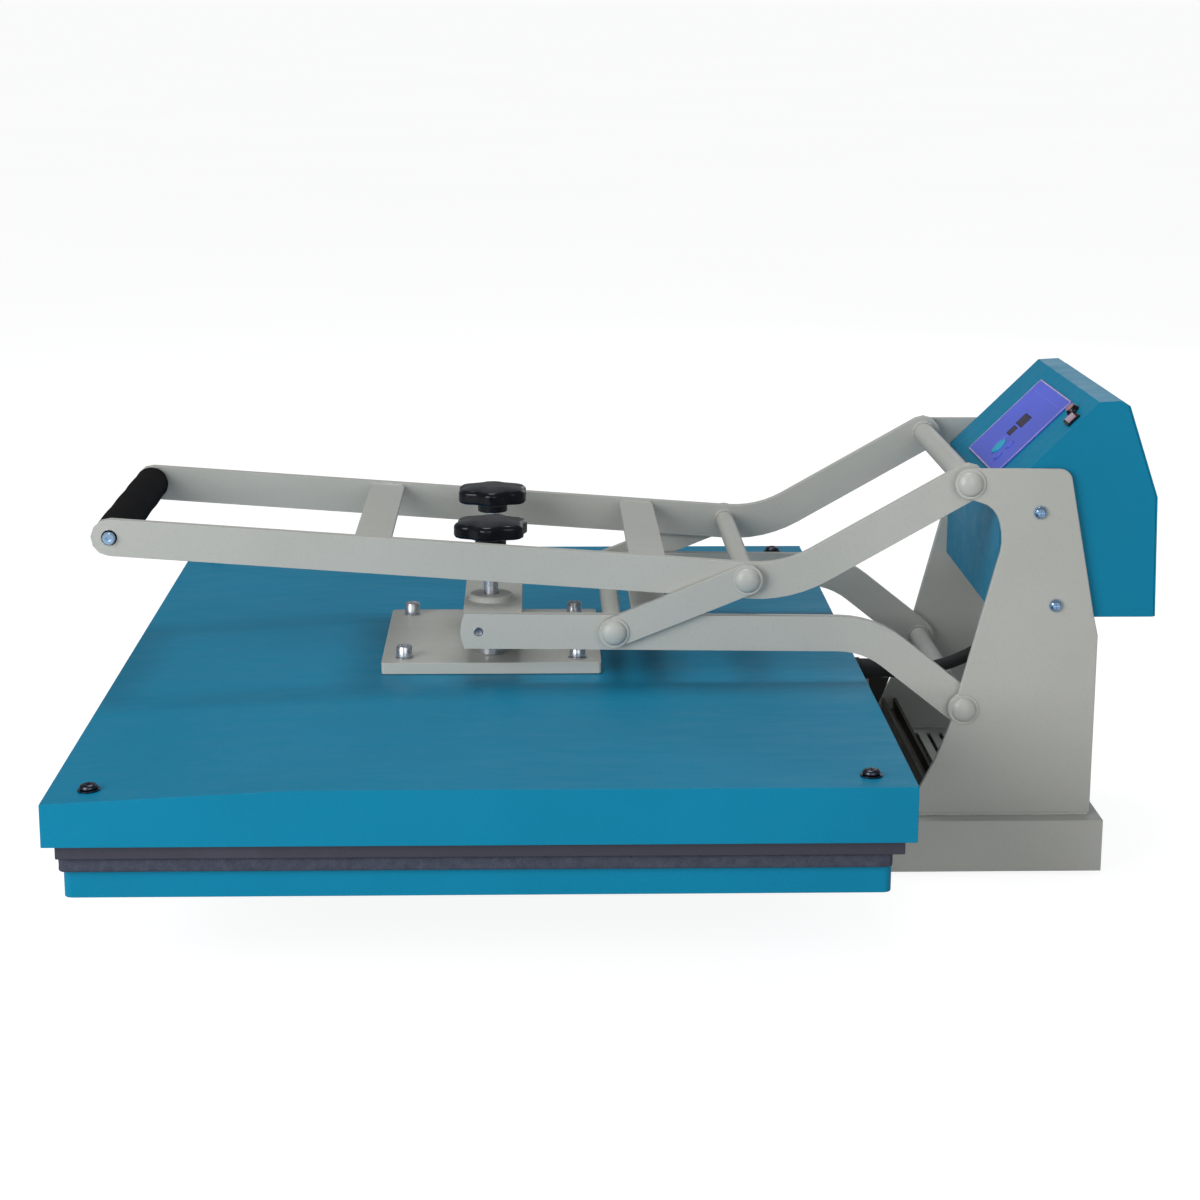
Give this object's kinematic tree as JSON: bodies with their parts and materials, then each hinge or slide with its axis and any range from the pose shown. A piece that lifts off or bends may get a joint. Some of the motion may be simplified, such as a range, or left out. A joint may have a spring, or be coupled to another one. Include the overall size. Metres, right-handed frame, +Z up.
{
  "type": "heat press",
  "caption": "Large clamshell heat press: toggle arms press a heated flat platen onto a padded table in front of a slanted control box.",
  "frame": {"origin": "middle of the footprint box, on the surface the rubber feet stand on", "axes": "+X to the right of an operator facing the handle end, +Y from the handle to the control box, +Z up"},
  "size_m": [0.825, 0.866, 0.393],
  "materials": {
    "cream_paint": "semi-gloss powder coat",
    "teal_paint": "semi-gloss powder coat",
    "dark_aluminium": "anodised, matte",
    "zinc_steel": "bright zinc plate",
    "pin_paint": "semi-gloss powder coat",
    "black_foam": "closed-cell foam, matte",
    "black_plastic": "glossy moulded plastic",
    "grey_silicone": "silicone sponge, mottled matte",
    "black_rubber": "matte",
    "violet_panel": "satin membrane film",
    "cyan_button": "satin",
    "dark_window": "glossy tinted window",
    "green_board": "solder mask",
    "white_wool": "fibre blanket",
    "dark_red_plastic": "glossy"
  },
  "bodies": {
    "root": {"base_box": "cream_paint", "base_frame": "cream_paint", "box_screw_lower_left": "zinc_steel", "box_screw_lower_right": "zinc_steel", "box_screw_upper_left": "zinc_steel", "box_screw_upper_right": "zinc_steel", "control_box_back_cover": "teal_paint", "control_box_shell": "teal_paint", "control_panel": "violet_panel", "controller_board": "green_board", "display_window": "dark_window", "foot_front_left": "black_rubber", "foot_front_right": "black_rubber", "foot_rear_left": "black_rubber", "foot_rear_right": "black_rubber", "fuse_holder": "black_plastic", "heater_cable": "black_rubber", "lower_table": "teal_paint", "pivot_pin_a": "pin_paint", "pivot_pin_b": "pin_paint", "power_inlet": "black_plastic", "power_switch_housing": "black_plastic", "side_plate_left": "cream_paint", "side_plate_right": "cream_paint", "silicone_pad": "grey_silicone"},
    "upper_arms": {"upper_arm_left": "cream_paint", "upper_arm_right": "cream_paint", "handle_rod": "zinc_steel", "foam_grip": "black_foam", "upper_strap_front": "cream_paint", "upper_strap_rear": "cream_paint", "pivot_tube_a": "cream_paint", "pivot_tube_c": "cream_paint", "pivot_pin_c": "pin_paint"},
    "links": {"link_left": "cream_paint", "link_right": "cream_paint", "pivot_pin_d_left": "pin_paint", "pivot_pin_d_right": "pin_paint"},
    "lower_arms": {"lower_arm_left": "cream_paint", "lower_arm_right": "cream_paint", "cross_beam": "cream_paint", "pivot_tube_b": "cream_paint", "pivot_tube_d": "cream_paint", "lower_strap": "cream_paint"},
    "platen": {"mounting_plate": "cream_paint", "platen_cover": "teal_paint", "heat_platen": "dark_aluminium", "insulation_blanket": "white_wool", "plate_screw_front_left": "zinc_steel", "plate_screw_rear_left": "zinc_steel", "plate_screw_front_right": "zinc_steel", "plate_screw_rear_right": "zinc_steel"},
    "knob_left": {"pressure_knob_left": "black_plastic", "pressure_stud_left": "zinc_steel"},
    "knob_right": {"pressure_knob_right": "black_plastic", "pressure_stud_right": "zinc_steel"},
    "set_button": {"set_button": "cyan_button"},
    "up_button": {"up_button": "violet_panel"},
    "down_button": {"down_button": "violet_panel"},
    "power_rocker": {"power_switch_rocker": "dark_red_plastic"}
  },
  "joints": [
    {"name": "platen_lift", "type": "hinge", "parent": "root", "child": "lower_arms", "pos_m": [0, 0.277, 0.138], "axis": [-1, 0, 0], "range_deg": [0, 30.27], "deforming": ["heater_cable"]},
    {"name": "handle_lift", "type": "hinge", "parent": "root", "child": "upper_arms", "pos_m": [0, 0.276, 0.3265], "axis": [-1, 0, 0], "range_deg": [0, 60.1]},
    {"name": "link_swing", "type": "hinge", "parent": "upper_arms", "child": "links", "pos_m": [0, 0.0972, 0.2475], "axis": [1, 0, 0], "range_deg": [0, 99.1]},
    {"name": "pressure_adjust", "type": "slide", "parent": "lower_arms", "child": "platen", "axis": [0, 0, 1], "range_m": [0, 0.006]},
    {"name": "knob_left_turn", "type": "hinge", "parent": "platen", "child": "knob_left", "pos_m": [-0.06, -0.112, 0.26], "axis": [0, 0, 1], "range_deg": [0, 1080.1]},
    {"name": "knob_right_turn", "type": "hinge", "parent": "platen", "child": "knob_right", "pos_m": [0.06, -0.112, 0.26], "axis": [0, 0, 1], "range_deg": [0, 1080.1]},
    {"name": "set_button_press", "type": "slide", "parent": "root", "child": "set_button", "axis": [0, 0.7025, -0.7117], "range_m": [0, 0.0008], "stiffness_N_per_m": 600},
    {"name": "up_button_press", "type": "slide", "parent": "root", "child": "up_button", "axis": [0, 0.7025, -0.7117], "range_m": [0, 0.0008], "stiffness_N_per_m": 600},
    {"name": "down_button_press", "type": "slide", "parent": "root", "child": "down_button", "axis": [0, 0.7025, -0.7117], "range_m": [0, 0.0008], "stiffness_N_per_m": 600},
    {"name": "power_rocker_tilt", "type": "hinge", "parent": "root", "child": "power_rocker", "pos_m": [0.1077, 0.36283, 0.37323], "axis": [0, 0.7117, 0.7025], "range_deg": [-14, 0]}
  ],
  "couplings": [
    {"joint": "handle_lift", "follows": "platen_lift", "ratio": 1.9823},
    {"joint": "link_swing", "follows": "platen_lift", "ratio": 3.2678},
    {"joint": "knob_left_turn", "follows": "pressure_adjust", "rad_per_m": 3141.6},
    {"joint": "knob_right_turn", "follows": "pressure_adjust", "rad_per_m": 3141.6}
  ]
}
